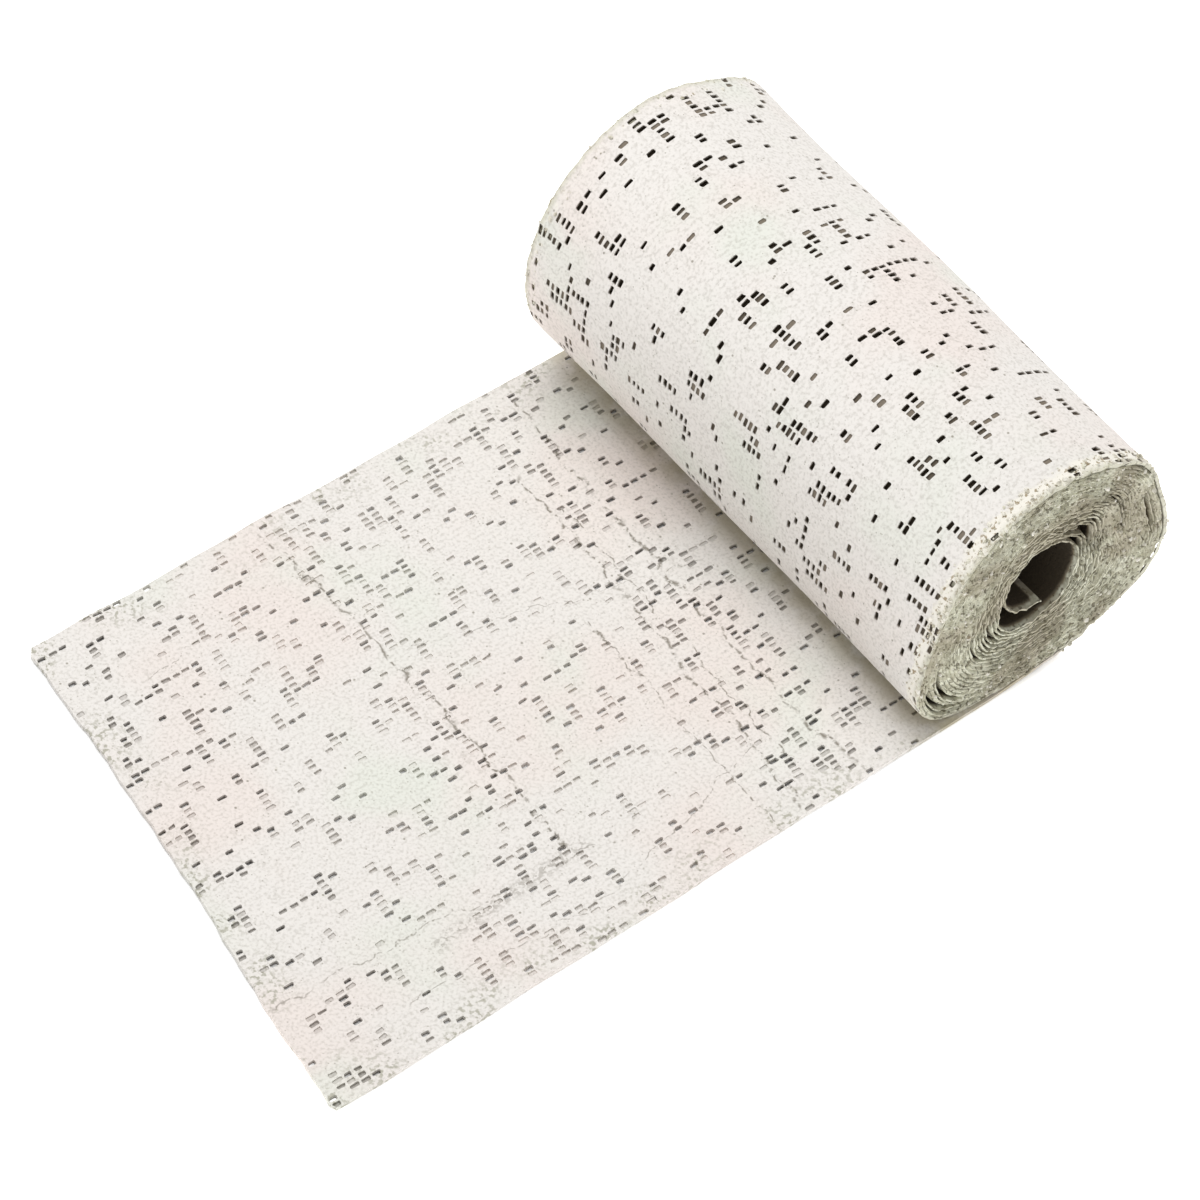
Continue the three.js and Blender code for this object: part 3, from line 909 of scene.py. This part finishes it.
# %% Helpers for materials
class Finish:
    """A material with a Principled shader, and short ways to add nodes to it."""

    def __init__(self, name):
        self.material = bpy.data.materials.new(name)
        self.material.use_nodes = True
        self.tree = self.material.node_tree
        self.shader = self.tree.nodes["Principled BSDF"]
        self.place = self.add("ShaderNodeTexCoord").outputs["Object"]

    def add(self, kind, **settings):
        node = self.tree.nodes.new(kind)
        for name, value in settings.items():
            setattr(node, name, value)
        return node

    def feed(self, socket, value):
        if isinstance(value, bpy.types.NodeSocket):
            self.tree.links.new(value, socket)
        else:
            socket.default_value = value

    def maths(self, operation, *values):
        node = self.add("ShaderNodeMath", operation=operation)
        for socket, value in zip(node.inputs, values):
            self.feed(socket, value)
        return node.outputs[0]

    def times(self, a, b):
        return self.maths("MULTIPLY", a, b)

    def plus(self, a, b):
        return self.maths("ADD", a, b)

    def parts(self, vector):
        """The three sockets x, y and z of a vector."""
        node = self.add("ShaderNodeSeparateXYZ")
        self.feed(node.inputs[0], vector)
        return node.outputs

    def attribute(self, name, output="Fac"):
        return self.add("ShaderNodeAttribute", attribute_name=name).outputs[output]

    def grain(self, size, detail=3, aside=0.0):
        """A noise from 0 to 1 with spots of about that size in metres."""
        node = self.add("ShaderNodeTexNoise")
        node.inputs["Scale"].default_value = 1 / size
        node.inputs["Detail"].default_value = detail
        moved = self.add("ShaderNodeVectorMath", operation="ADD")
        moved.inputs[1].default_value = (aside, aside * 0.7, -aside)
        self.feed(moved.inputs[0], self.place)
        self.feed(node.inputs["Vector"], moved.outputs[0])
        return node.outputs["Fac"]

    def between(self, value, low, high):
        """0 at low, 1 at high, and a soft rise between; it falls where low is above high."""
        node = self.add("ShaderNodeMapRange", interpolation_type="SMOOTHSTEP")
        self.feed(node.inputs["Value"], value)
        node.inputs["From Min"].default_value = low
        node.inputs["From Max"].default_value = high
        return node.outputs["Result"]

    def blend(self, share, base, other):
        node = self.add("ShaderNodeMix", data_type="RGBA")
        self.feed(node.inputs["Factor"], share)
        self.feed(node.inputs[6], base)
        self.feed(node.inputs[7], other)
        return node.outputs[2]


def paint(red, green, blue):
    """A colour given as it looks on a screen, 0 to 255, as Blender's linear light."""
    linear = [((c / 255 + 0.055) / 1.055) ** 2.4 for c in (red, green, blue)]
    return (*linear, 1)


# %% Colours and lines
PLASTER = paint(231, 227, 222)
PINK = paint(232, 223, 217)
GREENISH = paint(226, 227, 218)
SPECK = paint(138, 132, 118)
# Painted shade, for the openings, the bore, the hidden inner turns and the low packed plaster.
PAINTED_SHADE_COLOUR = paint(64, 56, 44)
CRACK = paint(106, 98, 82)
RIM = paint(220, 219, 200)
RIM_DARK = paint(160, 155, 130)
RIM_BROWN = paint(176, 164, 144)
PIT = paint(92, 84, 64)
CREAM = paint(237, 233, 223)
CREAM_DARK = paint(164, 150, 126)
# Painted shadow where the roll lies on the strip.
CONTACT_SHADOW = paint(186, 177, 150)
WORN_BORDER = paint(158, 156, 138)
SHADED_TURNS = paint(122, 104, 78)
CRACKS = [
    {"near": 22.2, "far": 30.1, "bow": -1.5, "width": 0.55, "start": -50, "end": 48},
    {"near": 9.4, "far": 20.9, "bow": 0.6, "width": 0.48, "start": -50, "end": 34},
    {"near": 13.6, "far": 23.0, "bow": 0.0, "width": 0.28, "start": -42, "end": 26},
    {"near": -29.0, "far": -24.2, "bow": 2.4, "width": 0.5, "start": -34, "end": 49},
    {"near": 4.0, "far": 12.0, "bow": -0.8, "width": 0.25, "start": -50, "end": 4},
]
CREASES = [
    {"from": (-84, -29.4), "to": (-56, -30.6), "width": 0.24},
    {"from": (-56, -30.6), "to": (-22, -35.0), "width": 0.24},
    {"from": (-66, -41.0), "to": (-28, -43.4), "width": 0.22},
    {"from": (-28, -43.4), "to": (14, -33.8), "width": 0.2},
    {"from": (-20, 14.7), "to": (32, 0.7), "width": 0.14},
    {"from": (-58, 34.0), "to": (-44, 36.5), "width": 0.18},
]
RUBBED = {"from": (-56, -34.8), "to": (-23, -32.9), "width": 2.3}
CREASE_STRENGTH = 0.75
RUBBED_STRENGTH = 0.5

# %% Masks and reliefs
def across_strip(finish, x, y, crack, wander):
    """1 on a crack that runs across the strip, given by where it meets the two long edges."""
    share = finish.maths("MULTIPLY_ADD", y, 1 / STRIP_WIDTH, 0.5)
    lean = (crack["far"] - crack["near"]) * MM
    straight = finish.maths("MULTIPLY_ADD", share, lean, crack["near"] * MM)
    bowed = finish.times(finish.times(y, y), -crack["bow"] * MM / HALF**2)
    line = finish.plus(straight, finish.plus(bowed, crack["bow"] * MM))
    off = finish.maths("ABSOLUTE", finish.maths("SUBTRACT", x, finish.plus(line, wander)))
    low = finish.between(y, crack["start"] * MM, (crack["start"] + 3) * MM)
    high = finish.between(y, crack["end"] * MM, (crack["end"] - 3) * MM)
    on_line = finish.between(off, crack["width"] * MM, 0)
    return finish.times(on_line, finish.times(low, high))


def along_strip(finish, x, y, crease, wander):
    """1 on a crease that runs along the strip, from one point to another."""
    (x1, y1), (x2, y2) = crease["from"], crease["to"]
    slope = (y2 - y1) / (x2 - x1)
    line = finish.maths("MULTIPLY_ADD", x, slope, (y1 - slope * x1) * MM)
    off = finish.maths("ABSOLUTE", finish.maths("SUBTRACT", y, finish.plus(line, wander)))
    begun = finish.between(x, (x1 - 1) * MM, (x1 + 1) * MM)
    ended = finish.between(x, (x2 + 1) * MM, (x2 - 1) * MM)
    on_line = finish.between(off, crease["width"] * MM, 0)
    return finish.times(on_line, finish.times(begun, ended))


def crack_mask(finish):
    """1 on the thin ragged lines of the cracks and in the rubbed patch, and 0 off them."""
    x, y, z = finish.parts(finish.place)
    wander = finish.maths("MULTIPLY_ADD", finish.grain(5 * MM, 6, 0.2), 5.5 * MM, -2.75 * MM)
    broken = finish.between(finish.grain(0.9 * MM, 4, 0.5), 0.42, 0.56)
    fading = finish.between(finish.grain(9 * MM, 2, 0.9), 0.2, 0.48)
    total = None
    for crack in CRACKS:
        mask = across_strip(finish, x, y, crack, wander)
        total = mask if total is None else finish.maths("MAXIMUM", total, mask)
    for crease in CREASES:
        faint = finish.times(along_strip(finish, x, y, crease, wander), CREASE_STRENGTH)
        total = finish.maths("MAXIMUM", total, faint)
    total = finish.times(finish.times(total, broken), fading)
    hatched = finish.between(finish.grain(0.7 * MM, 3, 0.8), 0.47, 0.58)
    rubbed = along_strip(finish, x, y, RUBBED, finish.times(wander, 0.3))
    rubbed = finish.times(rubbed, RUBBED_STRENGTH)
    total = finish.maths("MAXIMUM", total, finish.times(rubbed, hatched))
    return finish.times(total, finish.between(z, 3 * MM, 2 * MM))


def dots(finish, spacing, radius, patch_size, aside):
    """Small round pits, a few in each patch: 1 in their middle and 0 outside."""
    cells = finish.add("ShaderNodeTexVoronoi")
    cells.inputs["Scale"].default_value = 1 / spacing
    finish.feed(cells.inputs["Vector"], finish.place)
    inside = finish.between(cells.outputs["Distance"], radius, radius * 0.5)
    chosen = finish.between(finish.grain(patch_size, 3, aside), 0.5, 0.58)
    return finish.times(inside, chosen)


def turn_lines(finish):
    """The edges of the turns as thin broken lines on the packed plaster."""
    wander = finish.maths("MULTIPLY_ADD", finish.grain(3 * MM, 3, 8.0), 0.7, finish.attribute("turn"))
    away = finish.maths("PINGPONG", wander, 0.5)
    broken = finish.between(finish.grain(4 * MM, 3, 9.0), 0.42, 0.6)
    return finish.times(finish.between(away, 0.16, 0.02), broken)


def weave_relief(finish):
    """The faint ribs of the threads under the plaster, from the column and row of each place."""
    column, row, _ = finish.parts(finish.attribute("weave", "Vector"))
    across = finish.maths("COSINE", finish.times(column, 2 * math.pi))
    along = finish.maths("COSINE", finish.times(row, 2 * math.pi))
    return finish.maths("MULTIPLY_ADD", across, 0.24, finish.times(along, 0.1))


def shaded_by_turns(finish, painted_shade):
    """How much brown shade is painted into an opening on the roll, for the shaded turns below it."""
    on_roll = finish.between(finish.parts(finish.place)[2], 3 * MM, 8 * MM)
    brown = finish.times(finish.between(painted_shade, 0.1, 0.5), 0.75)
    return finish.times(brown, on_roll)


# %% The two finishes
ROUGHNESS = 0.92
SPECULAR = 0.25
BUMP_STRENGTH = 0.7
BUMP_HEIGHT = 0.12 * MM


def plain_colour(finish):
    """Off-white with clouds, a mottling of specks, and pits of two sizes."""
    colour = finish.blend(finish.between(finish.grain(30 * MM, 2, 1.0), 0.44, 0.7), PLASTER, PINK)
    colour = finish.blend(finish.between(finish.grain(21 * MM, 2, 2.0), 0.5, 0.75), colour, GREENISH)
    mottle = finish.between(finish.grain(0.55 * MM, 3, 3.5), 0.42, 0.74)
    colour = finish.blend(finish.times(mottle, 0.3), colour, SPECK)
    large_dots = dots(finish, 2.2 * MM, 0.13, 6 * MM, 3.0)
    small_dots = dots(finish, 0.9 * MM, 0.2, 3 * MM, 4.4)
    pits = finish.maths("MAXIMUM", large_dots, finish.times(small_dots, 0.7))
    return finish.blend(finish.times(pits, 0.75), colour, SPECK)


def marked_colour(finish, colour, pits, blotches):
    """The same with the strip's worn border, the painted shadow where the roll lies on it, and its
    cracks.
    """
    border_patches = finish.between(finish.grain(9 * MM, 3, 2.6), 0.45, 0.6)
    border = finish.times(finish.times(border_patches, pits), finish.attribute("border"))
    colour = finish.blend(finish.times(border, 0.75), colour, WORN_BORDER)
    contact_shadowed = finish.times(finish.attribute("contact_shadow"), blotches)
    colour = finish.blend(finish.times(contact_shadowed, 0.85), colour, CONTACT_SHADOW)
    return finish.blend(finish.times(crack_mask(finish), 0.8), colour, CRACK)


def crust_colour(finish):
    """Cream with brown pits, for the lumps of plaster along the rims."""
    crust_pits = finish.between(finish.grain(0.8 * MM, 3, 7.0), 0.56, 0.64)
    return finish.blend(crust_pits, CREAM, CREAM_DARK)


def rim_colour(finish, lines, pits):
    """Greenish beige with worn, brown and pitted places, for the cut threads."""
    worn = finish.between(finish.grain(1.3 * MM, 4, 4.0), 0.38, 0.64)
    brown = finish.between(finish.grain(11 * MM, 2, 4.7), 0.45, 0.62)
    colour = finish.blend(finish.times(brown, 0.6), RIM, RIM_BROWN)
    colour = finish.blend(finish.times(worn, 0.6), colour, RIM_DARK)
    colour = finish.blend(finish.times(lines, 0.55), colour, PIT)
    return finish.blend(finish.times(pits, 0.7), colour, PIT)


def grain_relief(finish):
    """The coarse and the fine grain of the plaster and the weave below it, as a height."""
    coarse = finish.times(finish.grain(1.6 * MM, 3, 5.0), 0.6)
    fine = finish.times(finish.grain(0.45 * MM, 2, 6.0), 0.5)
    return finish.plus(finish.plus(coarse, fine), weave_relief(finish))


def complete(finish, colour, relief):
    """Paints shade into the openings, the bore and the hidden turns, then joins colour and relief to the
    shader. Returns the material.
    """
    painted_shade = finish.attribute("painted_shade")
    colour = finish.blend(shaded_by_turns(finish, painted_shade), colour, SHADED_TURNS)
    colour = finish.blend(finish.between(painted_shade, 0.1, 0.95), colour, PAINTED_SHADE_COLOUR)
    finish.feed(finish.shader.inputs["Base Color"], colour)
    finish.shader.inputs["Roughness"].default_value = ROUGHNESS
    finish.shader.inputs["Specular IOR Level"].default_value = SPECULAR
    bump = finish.add("ShaderNodeBump")
    bump.inputs["Strength"].default_value = BUMP_STRENGTH
    bump.inputs["Distance"].default_value = BUMP_HEIGHT
    finish.feed(bump.inputs["Height"], relief)
    finish.feed(finish.shader.inputs["Normal"], bump.outputs["Normal"])
    return finish.material


def plaster_of_strip():
    finish = Finish("Dry_plaster")
    pits = finish.between(finish.grain(0.8 * MM, 4, 1.7), 0.5, 0.62)
    blotches = finish.between(finish.grain(4 * MM, 4, 3.9), 0.2, 0.6)
    colour = marked_colour(finish, plain_colour(finish), pits, blotches)
    raggedness = finish.maths("MULTIPLY_ADD", finish.grain(2 * MM, 3, 7.7), 1.6, -0.8)
    crust = finish.between(finish.plus(finish.attribute("crust"), raggedness), 0.3, 0.75)
    not_deep = finish.between(finish.attribute("painted_shade"), 0.5, 0.1)
    colour = finish.blend(finish.times(crust, not_deep), colour, crust_colour(finish))
    edge = finish.blend(finish.times(blotches, 0.4), RIM, RIM_DARK)
    edge = finish.blend(finish.times(pits, 0.5), edge, PIT)
    colour = finish.blend(finish.attribute("rim"), colour, edge)
    return complete(finish, colour, grain_relief(finish))


def plaster_of_ends():
    finish = Finish("Dry_plaster_of_the_ends")
    rim = finish.attribute("rim")
    lines = turn_lines(finish)
    pits = finish.between(finish.grain(0.7 * MM, 3, 6.6), 0.55, 0.64)
    colour = finish.blend(finish.attribute("crust"), plain_colour(finish), crust_colour(finish))
    colour = finish.blend(rim, colour, rim_colour(finish, lines, pits))
    hollows = finish.times(rim, finish.plus(pits, lines))
    return complete(finish, colour, finish.maths("SUBTRACT", grain_relief(finish), hollows))


strip_plaster = plaster_of_strip()
end_plaster = plaster_of_ends()

# %% [markdown]
# The ground is white all over and shows no shadow, as on a light table. So it glows a little, but not
# below the strip, where the light would come up through the open cells.

# %% White ground
FLOOR_GLOW = 0.72

floor_paint = Finish("White_ground")
floor_paint.shader.inputs["Base Color"].default_value = paint(252, 252, 252)
floor_paint.shader.inputs["Roughness"].default_value = 1.0
floor_paint.shader.inputs["Emission Color"].default_value = (1, 1, 1, 1)
floor_x, floor_y, _ = floor_paint.parts(floor_paint.place)
off_middle = floor_paint.maths("ABSOLUTE", floor_y)
beside = floor_paint.between(off_middle, HALF - 2 * MM, HALF + 1 * MM)
behind = floor_paint.between(floor_x, cad_box[1][0] - 26 * MM, cad_box[1][0] - 16 * MM)
in_front = floor_paint.between(floor_x, cad_box[0][0] + 4 * MM, cad_box[0][0])
clear_of_strip = floor_paint.maths("MAXIMUM", beside, floor_paint.maths("MAXIMUM", behind, in_front))
glow = floor_paint.times(clear_of_strip, FLOOR_GLOW)
floor_paint.feed(floor_paint.shader.inputs["Emission Strength"], glow)
floor.data.materials.append(floor_paint.material)

# %% [markdown]
# Last, each piece gets its finish and smooth shading up to a set angle and rides on the part's only
# body, and the imported part is hidden.

SMOOTH_ANGLE = math.radians(40)
pieces = [strip, middle_turns, inner_turns, near_packing, far_packing, near_crumbs, far_crumbs]
for piece in pieces:
    piece.data.materials.clear()
    piece.data.materials.append(strip_plaster if piece == strip else end_plaster)
    activate(piece)
    bpy.ops.object.shade_smooth_by_angle(angle=SMOOTH_ANGLE)
    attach(piece, "root")
    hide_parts(NODE)
    print(piece.name, sum(len(face.vertices) - 2 for face in piece.data.polygons), "triangles")

# %% [markdown]
# The part's box is printed once more at the end. The visual model has to stay close to the part's
# box.

# %% Sizes and the end
print("part's box:", [round(x, 4) for c in cad_box for x in c])
